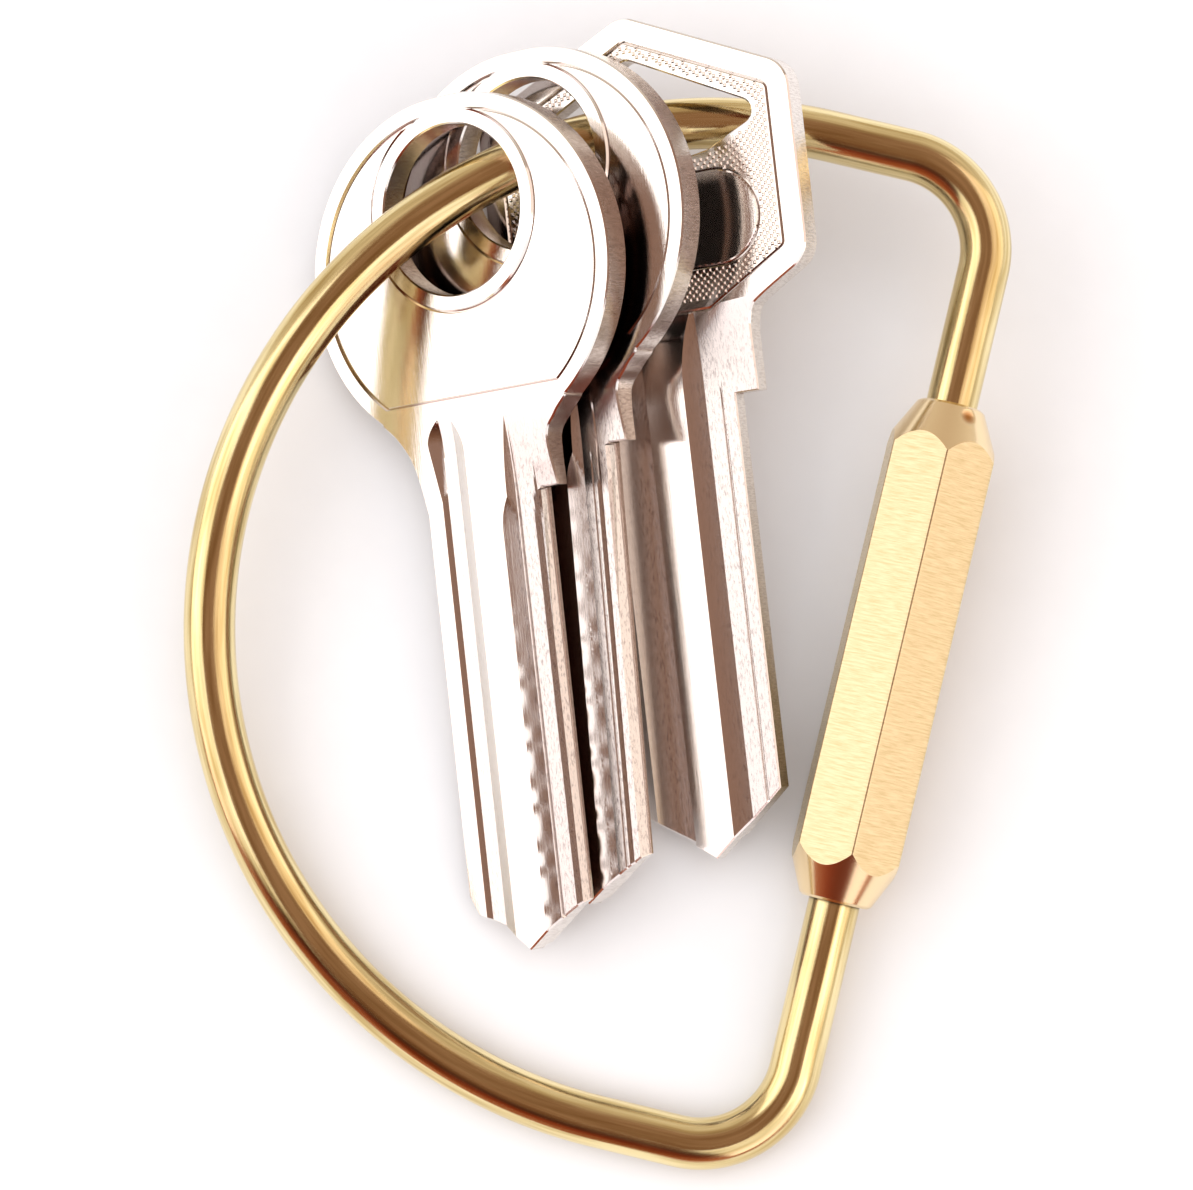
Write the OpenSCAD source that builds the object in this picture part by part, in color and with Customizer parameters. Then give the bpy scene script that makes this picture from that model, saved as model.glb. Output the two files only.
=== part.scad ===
// D-shaped belt key ring: a bent brass rod closed by a hexagonal screw sleeve, with three keys on it.
// It lies as it rests on a table: X to the right, Y along the straight side of the D, Z up.

/* [Ring wire] */
// Diameter of the brass rod
wire_d = 3.2; // [2.8:0.1:3.6]
// Radius of the half circle, to the middle of the rod
arc_r = 31.3; // [29:0.1:34]
// Distance from the sleeve's axis to the centre of the half circle
arc_offset = 11.05; // [8:0.05:14]
// Radius of the two corner bends, to the middle of the rod
bend_r = 6; // [5:0.1:7]

/* [Screw sleeve] */
// Width across the flats of the hexagon bar
flats = 6.35; // [6:0.05:7]
// Length of the sleeve
sleeve_len = 31.5; // [30:0.1:32]
// How far the sleeve's middle sits above the middle of the D
sleeve_up = 0.95; // [0:0.05:1.2]
// Turn of the hexagon, from one corner straight up
sleeve_turn = 3; // [-15:1:15]
// Length of each turned cone
cone_len = 3.15; // [2.5:0.05:3.6]
// Diameter of the top rim
top_rim_d = 4.1; // [4:0.05:4.4]
// Diameter of the bottom rim
low_rim_d = 4.4; // [4.2:0.05:4.8]
// Length of the lip that is swaged in round the rod at the top
lip_len = 2; // [1.5:0.1:2.5]
// Travel of the sleeve up the rod once it is unscrewed
travel = 8.4; // [7:0.1:8.5]

/* [Thread and stop] */
// Outside diameter of the thread on the rod's lower end
thread_d = 3.5; // [3.4:0.05:3.6]
// Diameter of the rod under the thread
thread_core_d = 2.9; // [2.6:0.05:3]
// Length of the thread
thread_len = 5; // [4:0.1:5.5]
// Relief below the thread, where the rod is turned down to the thread's root
mouth_len = 1; // [0.5:0.1:1.5]
// Diameter of the journal that the stop collar turns on
journal_d = 2.3; // [2:0.1:2.5]
// Outside diameter of the stop collar
collar_d = 3.9; // [3.7:0.05:3.9]
// Length of the stop collar
collar_len = 2; // [1.5:0.1:2.5]
// Length of the riveted head below the collar
head_len = 0.8; // [0.6:0.1:1]

/* [Round keys] */
// Thickness of the blank
key_t = 1.9; // [1.7:0.1:2]
// Height of the bow
bow_d = 21.8; // [21.4:0.1:22.4]
// How much wider than tall the bow is
bow_stretch = 1.2; // [0:0.1:1.2]
// Width of the raised rim round the bow
bow_rim = 0.95; // [0.6:0.05:1.2]
// Diameter of the hole
hole_d = 10.6; // [10.4:0.1:10.8]
// Width of the raised rim round the hole
hole_rim = 0.9; // [0.6:0.1:1.2]
// Wall between the hole and the top of the bow
hole_wall = 1.8; // [1.6:0.1:2.2]
// Distance from the centre of the bow down to the line across the shoulders
line_drop = 8; // [7.6:0.1:8.6]
// Distance from the centre of the bow to the tip
round_reach = 42.2; // [40:0.1:44]
// Width of the blade
round_blade = 8.6; // [8:0.1:9]
// Distance from the centre of the bow down to the shoulder that stops the key in its lock
round_stop = 14.1; // [13:0.1:15]
// How far that shoulder stands out from the blade
stop_step = 1.2; // [0.8:0.1:1.6]

/* [Six-sided key] */
// Thickness of the blank
hex_t = 1.7; // [1.6:0.05:1.8]
// Half the width of the bow
hex_half = 11; // [10.6:0.1:11.4]
// Radius of the bow's corners
hex_corner = 2; // [1.6:0.1:2.4]
// Width of the smooth border round the bow
hex_border = 1.4; // [1:0.1:1.6]
// Length of the smooth pad on the bow
pad_len = 15.8; // [14:0.1:17]
// Width of the smooth pad
pad_w = 5.6; // [4.8:0.1:6]
// Distance from the middle of the hole down to the middle of the pad
pad_drop = 7.4; // [7.2:0.1:7.6]
// Distance from the middle of the hole to the tip
hex_reach = 46.6; // [45:0.1:48]
// Width of the neck below the bow
hex_neck = 13; // [12:0.1:13.6]
// Distance from the middle of the hole down to the shoulders
hex_stop = 18.3; // [17.5:0.1:19]
// Width of the blade
hex_blade = 9.8; // [9.2:0.1:10]

/* [Key faces] */
// Depth of the grooves milled in the blades
groove_depth = 0.5; // [0.3:0.05:0.6]
// Height of the raised rims on the bows
relief = 0.12; // [0.05:0.01:0.2]

/* [How it lies] */
// Rise of the ring towards its upper end, where it lies on the keys
ring_pitch = 6.3; // [6.1:0.1:6.5]
// Rise of the ring towards its round side
ring_roll = 0.85; // [0.5:0.05:1.2]
// Place of the front key on the half circle
front_angle = 135.1; // [132:0.1:138]
// Place of the middle key on the half circle
middle_angle = 124.9; // [122:0.1:126]
// Place of the six-sided key on the half circle
back_angle = 112.2; // [111:0.1:114]
// Tilt of the two round keys about their own length
round_roll = 36.5; // [35:0.5:38]
// Turn of the front key on the table
front_yaw = 19.7; // [18:0.1:21]
// Turn of the middle key on the table
middle_yaw = 18.4; // [17.4:0.1:20]
// Tilt of the six-sided key about its own length
hex_roll = 30; // [29:0.5:31]
// Turn of the six-sided key on the table
hex_yaw = 19.9; // [19:0.1:21]

/* [Hidden] */
$fn = 96;
running_gap = 0.05;             // radial clearance of every turning or sliding fit
end_gap = 0.1;                  // clearance at the ends of the collar
rest_gap = 0.01;                // clearance under every piece that rests on the table
cut = 0.5;                      // overrun of every cut past the surface it opens
chamfer = 0.3;                  // chamfer on the ends of the rod
edge = 0.15;                    // small chamfer on turned rims and key edges
brass = "#c9a24f";
nickel = "#d9d6d2";

// Places measured from the middle of the D, in the ring's own plane.
sleeve_low = sleeve_up - sleeve_len / 2;
sleeve_top = sleeve_up + sleeve_len / 2;
corner_r = flats / 2 / cos(30);
side_half = arc_r - bend_r;
collar_top = sleeve_top - lip_len - end_gap;
journal_top = collar_top + end_gap;
journal_len = collar_len + 2 * end_gap;
head_top = journal_top - journal_len;
cavity_low = head_top - head_len - travel - end_gap;
cavity_r = collar_d / 2 + running_gap;
lip_r = wire_d / 2 + running_gap;
thread_bore_r = thread_d / 2 + running_gap;
mouth_r = thread_bore_r + running_gap;

// Height of the middle of the D: the ring rests on its lower bend or on the sleeve's lower corner.
bend_rest = wire_d / 2 + arc_r * sin(ring_pitch) - bend_r * sin(ring_roll);
sleeve_rest = corner_r * cos(ring_pitch) - (sleeve_low + cone_len) * sin(ring_pitch);
ring_z = max(bend_rest, sleeve_rest) + rest_gap;

// How far the hole's centre stands above the centre of a round bow.
hole_up = (bow_d - hole_d) / 2 - hole_wall;

// Outlines of the keys. The round neck and its stops are shares of the round bow's radius, the tips and
// the grooves shares of the blade's width, and the six-sided bow and its hole shares of its half width.
// Both necks are measured outwards from their own half width.
neck_shares = [[0.25, 0.82], [0.17, 0.9], [0.09, 1.02], [0.04, 1.17], [0, 1.36]];
round_tip_shares = [[-0.5, 0.42], [-0.43, 0.28], [-0.22, 0.19], [0, 0], [0.28, 0.21], [0.5, 0.33]];
hex_tip_shares = [[-0.5, 0.34], [0.02, 0], [0.5, 0.41]];
hex_bow_shares = [[0, 0.55], [1, 0.1], [1, -0.97], [0.4, -1.31],
                  [-0.4, -1.31], [-1, -0.97], [-1, 0.1]];
hex_neck_shares = [[0.11, -1.14], [0.03, -1.2], [0, -1.29]];
hex_hole_shares = [[0, 0.3], [0.85, -0.12], [0.45, -0.29], [0, -0.36], [-0.45, -0.29], [-0.85, -0.12]];
// Each groove: middle and width in shares of the blade's width, and how far its end stands above the
// stop in shares of that width too.
round_front_shares = [[-0.24, 0.16, 0.5], [0.305, 0.26, 0.4]];
round_rear_shares = [[-0.05, 0.19, 0.38], [0.36, 0.13, -0.08]];
hex_front_shares = [[-0.245, 0.265, 0.25], [0.255, 0.19, 0.2]];
hex_rear_shares = [[0.06, 0.22, 0.25], [-0.31, 0.11, 0.2]];
hole_corner = 0.8;              // radius of the corners of the six-sided key's hole
corner_steps = 5;               // facets of each rounded corner of the six-sided key

// Places of the keys: how far each hole's centre lies outside and above the middle of the wire.
front_out = -1.13;
front_lift = 0.27;
middle_out = -0.59;
middle_lift = -0.11;
back_out = 0.87;
back_lift = -0.17;

// Place over the table of a point of the half circle.
function on_wire(angle, out, lift) =
    let (x = -arc_offset + (arc_r + out) * cos(angle),
         y = (arc_r + out) * sin(angle))
    [x, y, ring_z + y * sin(ring_pitch) - x * sin(ring_roll) + lift];

front_at = on_wire(front_angle, front_out, front_lift);
middle_at = on_wire(middle_angle, middle_out, middle_lift);
back_at = on_wire(back_angle, back_out, back_lift);

// Fall of a key that rests on the lower corner of its tip: height is that of the hole's centre,
// down the distance from there to the corner, half_t half the blank and half_w half the blade.
function rest_pitch(height, down, half_w, half_t, roll) =
    let (under = half_w * sin(roll) + half_t * cos(roll))
    asin((height - rest_gap) / norm([down, under])) - atan2(under, down);

round_down = hole_up + round_reach - round_blade * round_tip_shares[0].y;
hex_down = hex_reach - hex_blade * hex_tip_shares[0].y;

// The frame's origin is under the middle of the whole object.
origin = [-20.32, 1.43, 0];

module on_table() {
    translate(-origin)
        children();
}

module in_ring() {
    on_table()
        translate([0, 0, ring_z])
            rotate([0, ring_roll, 0])
                rotate([ring_pitch, 0, 0])
                    children();
}

module in_key(at, yaw, pitch, roll) {
    on_table()
        translate(at)
            rotate([0, 0, yaw])
                rotate([pitch, 0, 0])
                    rotate([0, -roll, 0])
                        children();
}

// A round bar along Y from the height low to the height high.
module bar_y(r, low, high) {
    translate([0, low, 0])
        rotate([-90, 0, 0])
            cylinder(r = r, h = high - low);
}

module bar_x(low, high) {
    translate([low, 0, 0])
        rotate([0, 90, 0])
            cylinder(r = wire_d / 2, h = high - low);
}

// A bent stretch of the rod in the XY plane, from the angle start over the angle sweep.
module bend(radius, start, sweep) {
    rotate([0, 0, start])
        rotate_extrude(angle = sweep)
            translate([radius, 0])
                circle(d = wire_d);
}

// Something turned about the Y axis from a profile of [radius, y] points.
module turned(profile) {
    rotate([-90, 0, 0])
        rotate_extrude()
            polygon(profile);
}

module corner(side) {
    translate([-bend_r, side * side_half, 0])
        bend(bend_r, side > 0 ? 0 : -90, 90);
    translate([0, side * arc_r, 0])
        bar_x(-arc_offset, -bend_r);
}

module upper_end() {
    bar_y(wire_d / 2, journal_top, side_half);
    bar_y(journal_d / 2, head_top, journal_top);
    head_low = head_top - head_len;
    turned([[0, head_low],
            [wire_d / 2 - chamfer, head_low],
            [wire_d / 2, head_low + chamfer],
            [wire_d / 2, head_top],
            [0, head_top]]);
}

module lower_end() {
    thread_top = sleeve_low + mouth_len + thread_len;
    bar_y(wire_d / 2, -side_half, sleeve_low);
    turned([[0, sleeve_low],
            [thread_core_d / 2, sleeve_low],
            [thread_core_d / 2, thread_top - chamfer],
            [thread_core_d / 2 - chamfer, thread_top],
            [0, thread_top]]);
}

module ring_wire() {
    color(brass)
        in_ring() {
            translate([-arc_offset, 0, 0])
                bend(arc_r, 90, 180);
            corner(1);
            corner(-1);
            upper_end();
            lower_end();
        }
}

module stop_collar() {
    bore = journal_d / 2 + running_gap;
    color(brass)
        in_ring()
            turned([[bore, collar_top - collar_len],
                    [collar_d / 2 - edge, collar_top - collar_len],
                    [collar_d / 2, collar_top - collar_len + edge],
                    [collar_d / 2, collar_top - edge],
                    [collar_d / 2 - edge, collar_top],
                    [bore, collar_top]]);
}

// Hexagon bar along Y with one corner up, turned by the angle sleeve_turn.
module hex_bar() {
    translate([0, sleeve_low, 0])
        rotate([-90, 0, 0])
            rotate([0, 0, 30 + sleeve_turn])
                cylinder(r = corner_r, h = sleeve_len, $fn = 6);
}

// Outline that the lathe leaves: a cone at each end and a small chamfer on each rim.
module turned_ends() {
    big_r = corner_r + cut;
    low_slope = (corner_r - low_rim_d / 2) / cone_len;
    top_slope = (corner_r - top_rim_d / 2) / cone_len;
    turned([[0, sleeve_low],
            [low_rim_d / 2 - edge, sleeve_low],
            [low_rim_d / 2 + edge * low_slope, sleeve_low + edge],
            [big_r, sleeve_low + (big_r - low_rim_d / 2) / low_slope],
            [big_r, sleeve_top - (big_r - top_rim_d / 2) / top_slope],
            [top_rim_d / 2 + edge * top_slope, sleeve_top - edge],
            [top_rim_d / 2 - edge, sleeve_top],
            [0, sleeve_top]]);
}

// Punch mark on the top cone, left when the lip was swaged round the rod.
module punch_mark() {
    mark_r = 0.55;
    mark_turn = 26;
    mark_down = 0.7;
    mark_depth = 0.16;
    cone_r = top_rim_d / 2 + mark_down * (corner_r - top_rim_d / 2) / cone_len;
    ball_r = (mark_r * mark_r + mark_depth * mark_depth) / (2 * mark_depth);
    translate([0, sleeve_top - mark_down, 0])
        rotate([0, mark_turn, 0])
            rotate([-atan((corner_r - top_rim_d / 2) / cone_len), 0, 0])
                translate([0, 0, cone_r + ball_r - mark_depth])
                    sphere(r = ball_r);
}

module hex_sleeve() {
    color(brass)
        in_ring()
            difference() {
                intersection() {
                    hex_bar();
                    turned_ends();
                }
                bar_y(lip_r, sleeve_top - lip_len - cut, sleeve_top + cut);
                bar_y(cavity_r, cavity_low, sleeve_top - lip_len);
                bar_y(thread_bore_r, sleeve_low + mouth_len, cavity_low + cut);
                bar_y(mouth_r, sleeve_low - cut, sleeve_low + mouth_len);
                punch_mark();
            }
}

module slab(thickness) {
    translate([0, 0, -thickness / 2])
        linear_extrude(thickness)
            children();
}

// A shallow cut of the given depth in the front (1) or the rear (-1) face of a blank.
module face_cut(face, depth, thickness) {
    translate([0, 0, face > 0 ? thickness / 2 - depth : -thickness / 2 - cut])
        linear_extrude(depth + cut)
            children();
}

// Grooves down a face of a blade: straight, open at the tip, each with a round end at the top.
module grooves(shares, face, blade, thickness, stop_y, tip_y) {
    for (g = shares) {
        x = g[0] * blade;
        width = g[1] * blade;
        top = stop_y + g[2] * blade;
        face_cut(face, groove_depth, thickness) {
            translate([x - width / 2, tip_y - cut])
                square([width, top - tip_y + cut]);
            translate([x, top])
                circle(d = width);
        }
    }
}

// Bow of the round keys: two half discs a little apart, with a small chamfer round both faces.
module round_bow() {
    r = bow_d / 2;
    half_t = key_t / 2;
    half = [[0, -half_t],
            [r - edge, -half_t],
            [r, -half_t + edge],
            [r, half_t - edge],
            [r - edge, half_t],
            [0, half_t]];
    for (side = [-1, 1])
        translate([side * bow_stretch / 2, 0, 0])
            rotate_extrude()
                polygon(half);
    for (turn = [0, 180])
        rotate([0, 0, turn])
            translate([-bow_stretch / 2, 0, 0])
                rotate([90, 0, 90])
                    linear_extrude(bow_stretch)
                        polygon(half);
}

// Neck and blade of the round keys, measured from the centre of the bow.
module round_blank() {
    half = round_blade / 2;
    neck = [for (s = neck_shares) [half + s.x * bow_d / 2, -s.y * bow_d / 2]];
    left = [for (p = neck) [-p.x, p.y]];
    tip = [for (s = round_tip_shares) [s.x * round_blade, -round_reach + s.y * round_blade]];
    stop = [[half, -round_stop],
            [half + stop_step, -round_stop],
            neck[2],
            neck[1],
            neck[0]];
    polygon(concat(left, tip, stop));
}

// The sunk field of a round bow, inside its edge rim, outside the rim of the hole and above the line.
module round_field() {
    difference() {
        translate([0, -hole_up]) {
            for (side = [-1, 1])
                translate([side * bow_stretch / 2, 0])
                    circle(d = bow_d - 2 * bow_rim);
            square([bow_stretch, bow_d - 2 * bow_rim], center = true);
        }
        circle(d = hole_d + 2 * hole_rim);
        translate([-bow_d / 2, -hole_up - bow_d])
            square([bow_d, bow_d - line_drop]);
    }
}

// Blank of the two round keys. The hole's centre is the origin, the tip points down -Y.
module round_key() {
    stop_y = -hole_up - round_stop;
    tip_y = -hole_up - round_reach;
    difference() {
        translate([0, -hole_up, 0]) {
            round_bow();
            slab(key_t)
                round_blank();
        }
        for (face = [1, -1])
            face_cut(face, relief, key_t)
                round_field();
        cylinder(d = hole_d, h = key_t + 2 * cut, center = true);
        grooves(round_front_shares, 1, round_blade, key_t, stop_y, tip_y);
        grooves(round_rear_shares, -1, round_blade, key_t, stop_y, tip_y);
    }
}

function unit(v) = v / norm(v);

// Centre of the circle of radius r that touches both sides of the corner p between the points a and b.
function corner_centre(a, p, b, r) =
    let (u = unit(a - p), v = unit(b - p))
    p + unit(u + v) * r / sin(acos(u * v) / 2);

// The outline moved in by the distance r.
function inset(points, r) =
    let (n = len(points))
    [for (i = [0:n - 1])
        corner_centre(points[(i + n - 1) % n], points[i], points[(i + 1) % n], r)];

// An outline with its corners rounded to the radius r, each by an arc between its tangents.
function rounded(points, r) =
    let (n = len(points), centres = inset(points, r))
    [for (i = [0:n - 1])
        let (u = unit(points[(i + n - 1) % n] - points[i]),
             v = unit(points[(i + 1) % n] - points[i]),
             back = r / tan(acos(u * v) / 2),
             from = unit(points[i] + u * back - centres[i]),
             to = unit(points[i] + v * back - centres[i]),
             turn = acos(from * to))
        for (k = [0:corner_steps])
            let (part = k / corner_steps)
            centres[i] + r * (sin(turn * (1 - part)) * from + sin(turn * part) * to) / sin(turn)];

// The smooth pad of the six-sided bow, with round ends.
module pad() {
    straight = pad_len - pad_w;
    translate([0, -pad_drop]) {
        square([straight, pad_w], center = true);
        for (side = [-1, 1])
            translate([side * straight / 2, 0])
                circle(d = pad_w);
    }
}

// Neck and blade of the six-sided key. The neck flares out into the bow.
module hex_blank() {
    half = hex_blade / 2;
    neck = hex_neck / 2;
    left = [for (s = hex_neck_shares) [-neck - s.x * hex_half, s.y * hex_half]];
    right = [for (k = [1:len(left)]) let (p = left[len(left) - k]) [-p.x, p.y]];
    tip = [for (s = hex_tip_shares) [s.x * hex_blade, -hex_reach + s.y * hex_blade]];
    polygon(concat(left,
                   [[-neck, -hex_stop], [-half, -hex_stop]],
                   tip,
                   [[half, -hex_stop], [neck, -hex_stop]],
                   right));
}

// Blank of the six-sided key. The middle of its hole is the origin, the tip points down -Y.
module hex_key() {
    bow = hex_bow_shares * hex_half;
    difference() {
        union() {
            slab(hex_t)
                polygon(rounded(bow, hex_corner));
            slab(hex_t)
                hex_blank();
        }
        slab(hex_t + 2 * cut)
            polygon(rounded(hex_hole_shares * hex_half, hole_corner));
        for (face = [1, -1])
            face_cut(face, relief, hex_t)
                difference() {
                    polygon(rounded(inset(bow, hex_border), hex_corner - hex_border));
                    pad();
                }
        grooves(hex_front_shares, 1, hex_blade, hex_t, -hex_stop, -hex_reach);
        grooves(hex_rear_shares, -1, hex_blade, hex_t, -hex_stop, -hex_reach);
    }
}

module key_front() {
    pitch = rest_pitch(front_at.z, round_down, round_blade / 2, key_t / 2, round_roll);
    color(nickel)
        in_key(front_at, front_yaw, pitch, round_roll)
            round_key();
}

module key_middle() {
    pitch = rest_pitch(middle_at.z, round_down, round_blade / 2, key_t / 2, round_roll);
    color(nickel)
        in_key(middle_at, middle_yaw, pitch, round_roll)
            round_key();
}

module key_back() {
    pitch = rest_pitch(back_at.z, hex_down, hex_blade / 2, hex_t / 2, hex_roll);
    color(nickel)
        in_key(back_at, hex_yaw, pitch, hex_roll)
            hex_key();
}

ring_wire();
stop_collar();
hex_sleeve();
key_front();
key_middle();
key_back();
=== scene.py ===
# %% [markdown]
# # A D-shaped belt key ring with three keys
# The object is a brass rod bent to a D, closed by a hexagonal screw sleeve, with three plated keys on
# its round side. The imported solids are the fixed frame. This file gives every surface its finish, and
# replaces the parts whose reflections need a finer surface than the solids have.

# %% Load the frame
from math import acos, asin, atan, atan2, cos, degrees, hypot, pi, radians, sin, sqrt, tan
import bmesh
import bpy
import numpy as np
from mathutils import Matrix, Vector, geometry


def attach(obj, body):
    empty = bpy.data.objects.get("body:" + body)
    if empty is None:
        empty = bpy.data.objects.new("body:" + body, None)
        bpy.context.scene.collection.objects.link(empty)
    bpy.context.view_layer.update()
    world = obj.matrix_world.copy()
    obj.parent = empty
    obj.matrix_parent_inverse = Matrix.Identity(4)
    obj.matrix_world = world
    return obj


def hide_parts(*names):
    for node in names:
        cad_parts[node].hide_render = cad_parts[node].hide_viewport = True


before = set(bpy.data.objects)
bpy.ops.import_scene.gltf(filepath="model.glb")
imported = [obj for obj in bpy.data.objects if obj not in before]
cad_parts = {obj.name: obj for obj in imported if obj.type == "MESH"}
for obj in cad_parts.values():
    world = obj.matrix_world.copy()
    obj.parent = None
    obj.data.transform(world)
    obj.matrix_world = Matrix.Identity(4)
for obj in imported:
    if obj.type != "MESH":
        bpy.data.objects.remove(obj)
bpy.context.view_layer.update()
print("nodes", sorted(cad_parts))

# %% [markdown]
# ## Where things lie
# The ring's plane rises a little towards its upper end, where it lies on the keys, and each key is
# turned, tipped and rolled about its own length. The same few angles place the solids, so the finer
# surfaces made here land exactly on them. All lengths are in millimetres until a mesh is made.

# %% Axes and places
MM = 0.001


def add_object(name, data, axes=np.eye(3), place=(0, 0, 0)):
    """Adds a mesh, lamp or camera to the scene, with its axes as columns and its place in metres."""
    thing = bpy.data.objects.new(name, data)
    bpy.context.scene.collection.objects.link(thing)
    thing.matrix_world = Matrix(np.vstack([np.column_stack([axes, place]), [0, 0, 0, 1]]).tolist())
    return thing


def turn(axis, angle):
    """Rotation by so many degrees about X (0), Y (1) or Z (2): cosines and sines for the other two axes."""
    i, j = (axis + 1) % 3, (axis + 2) % 3
    matrix = np.eye(3)
    matrix[i, i] = matrix[j, j] = cos(radians(angle))
    matrix[j, i] = sin(radians(angle))
    matrix[i, j] = -matrix[j, i]
    return matrix


origin = np.array([-20.32, 1.43, 0.0])  # the frame's origin, from the middle of the D
ring_pitch = 6.3  # degrees by which the upper end of the D is raised
ring_roll = 0.85  # degrees by which its round side is raised
rest_gap = 0.01  # air left under the object
wire_r = 1.6
arc_r = 31.3  # round side, on the middle line of the rod
arc_offset = 11.05  # how far its centre lies left of the straight side
bend_r = 6.0  # the two corner bends
side_half = arc_r - bend_r
ring_z = (wire_r + arc_r * sin(radians(ring_pitch))
          - bend_r * sin(radians(ring_roll)) + rest_gap)
ring_axes = turn(1, ring_roll) @ turn(0, ring_pitch)
print("height of the middle of the D", round(ring_z, 3), "mm")

# %% Camera
tilt = 9.0  # degrees the view leans from straight down
image_turn = 13.44  # degrees the straight side leans in the picture
distance = 232.0  # from the camera to the point that it looks at
sensor = 36.0
pixels_per_mm = 16.12  # scale of the picture at that point
image_width = 1193
look_at = np.array([-18.67, 0.29, 4.5]) - origin

view_axes = turn(2, image_turn) @ turn(0, tilt)  # columns: right, up and back
camera_data = bpy.data.cameras.new("view")
camera_data.sensor_width = sensor
camera_data.sensor_fit = "HORIZONTAL"
camera_data.lens = sensor * pixels_per_mm * distance / image_width
camera_data.clip_start = 0.01
bpy.context.scene.camera = add_object("view", camera_data, view_axes,
                                      (look_at + distance * view_axes[:, 2]) * MM)
print("lens", round(camera_data.lens, 2), "mm")

# %% Helpers for materials
color_mix = ("Mix", {"data_type": "RGBA"})  # mixes two colours


def hex_color(text):
    """A hex colour as linear red, green, blue and alpha."""
    rgb = [int(text[k:k + 2], 16) / 255 for k in (1, 3, 5)]
    return [c / 12.92 if c <= 0.04045 else ((c + 0.055) / 1.055) ** 2.4 for c in rgb] + [1.0]


def add_node(tree, kind, settings=None, inputs=None, links=None):
    """Adds a node, sets its properties and sockets, where text is a hex colour, and links it to others."""
    node = tree.nodes.new("ShaderNode" + kind)
    for key, value in (settings or {}).items():
        setattr(node, key, value)
    for key, value in (inputs or {}).items():
        node.inputs[key].default_value = hex_color(value) if isinstance(value, str) else value
    for key, socket in (links or {}).items():
        tree.links.new(socket, node.inputs[key])
    return node


def new_material(name):
    """A material without nodes, and its node tree."""
    material = bpy.data.materials.new(name)
    material.use_nodes = True
    material.node_tree.nodes.clear()
    return material, material.node_tree


# %% Sizes of the rod and the sleeve
flats = 6.35  # across the flats: a quarter inch
sleeve_len = 31.5
sleeve_up = 0.95  # its middle, from the middle of the straight side
sleeve_turn = 3.0  # degrees from one corner straight up
cone_len = 3.15
top_rim_r = 2.05
low_rim_r = 2.2
lip_len = 2.0  # top of the sleeve that runs on the rod
mouth_len = 1.0  # plain bore below the sleeve's thread
thread_len = 5.0
thread_core_r = 1.45
thread_r = 1.75
thread_pitch = 0.6
journal_r = 1.15  # the rod's turned-down upper end, on which the stop collar spins
journal_len = 2.2
head_len = 0.8  # its riveted head
running_gap = 0.05
corner_r = flats / 2 / cos(radians(30))
sleeve_low = sleeve_up - sleeve_len / 2
sleeve_top = sleeve_up + sleeve_len / 2
journal_top = sleeve_top - lip_len
head_top = journal_top - journal_len
print("sleeve from", sleeve_low, "to", sleeve_top, "mm along the straight side")

# %% [markdown]
# ## How a surface becomes a mesh
# Each turned or bent part is a grid of points: rows run along it and columns run round it. Working out
# whole arrays with numpy is quick and exact, and a fine grid gives polished metal the smooth highlights
# that the coarse solids can't. Sharp edges are kept where two faces meet at more than a few degrees.

# %% Helpers for surfaces


def add_piece(name, mesh, body, node, materials, sharp_degrees=9):
    """Turns the faces outwards, shades them smooth up to sharp_degrees, and puts the piece on its body."""
    piece = add_object(name, mesh)
    shape = bmesh.new()
    shape.from_mesh(mesh)
    volume = shape.calc_volume(signed=True)
    shape.free()
    if volume < 0:
        mesh.flip_normals()
    mesh.calc_loop_triangles()
    mesh.polygons.foreach_set("use_smooth", np.ones(len(mesh.polygons), bool))
    mesh.set_sharp_from_angle(angle=radians(sharp_degrees))
    for material in materials:
        mesh.materials.append(material)
    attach(piece, body)
    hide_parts(node)
    print(name, len(mesh.loop_triangles), "triangles,", round(abs(volume) / MM ** 3, 1), "mm3")


def grid_mesh(name, points, along, around, joined=False):
    """A closed surface from a grid of points in mm, whose columns run round and join up.

    The rows join up too when joined is set, and otherwise each end is closed by one face. The UV map
    holds the way in mm: along (rows, one more when joined, and columns too where the rows are curved)
    and around (columns and one more).
    """
    rows, columns = points.shape[:2]
    steps = rows if joined else rows - 1
    if along.ndim == 1:
        along = np.repeat(along[:, None], columns, 1)
    r, c = [a.ravel() for a in np.meshgrid(np.arange(steps), np.arange(columns), indexing="ij")]
    r2, c2 = (r + 1) % rows, (c + 1) % columns
    faces = np.stack([r * columns + c, r * columns + c2, r2 * columns + c2, r2 * columns + c], 1).tolist()
    if not joined:
        faces += [np.arange(columns)[::-1].tolist(), ((rows - 1) * columns + np.arange(columns)).tolist()]
    mesh = bpy.data.meshes.new(name)
    mesh.from_pydata((points.reshape(-1, 3) * MM).tolist(), [], faces)
    corner_uv = np.zeros((len(mesh.loops), 2))
    corner_uv[:4 * len(r)] = np.stack([along[r, c], around[c], along[r, c2], around[c + 1], along[r + 1, c2],
                                       around[c + 1], along[r + 1, c], around[c]], 1).reshape(-1, 2)
    mesh.uv_layers.new(name="surface").data.foreach_set("uv", corner_uv.ravel())
    mesh.update()
    return mesh


def way_along(points):
    """The way from the first point to each, along the straight lines that join them."""
    return np.concatenate([[0], np.cumsum(np.linalg.norm(np.diff(points, axis=0), axis=1))])


def in_ring(points):
    """Takes points from the ring's own plane to the table: rolled, pitched and lifted."""
    return points @ ring_axes.T + np.array([0, 0, ring_z]) - origin


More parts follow.
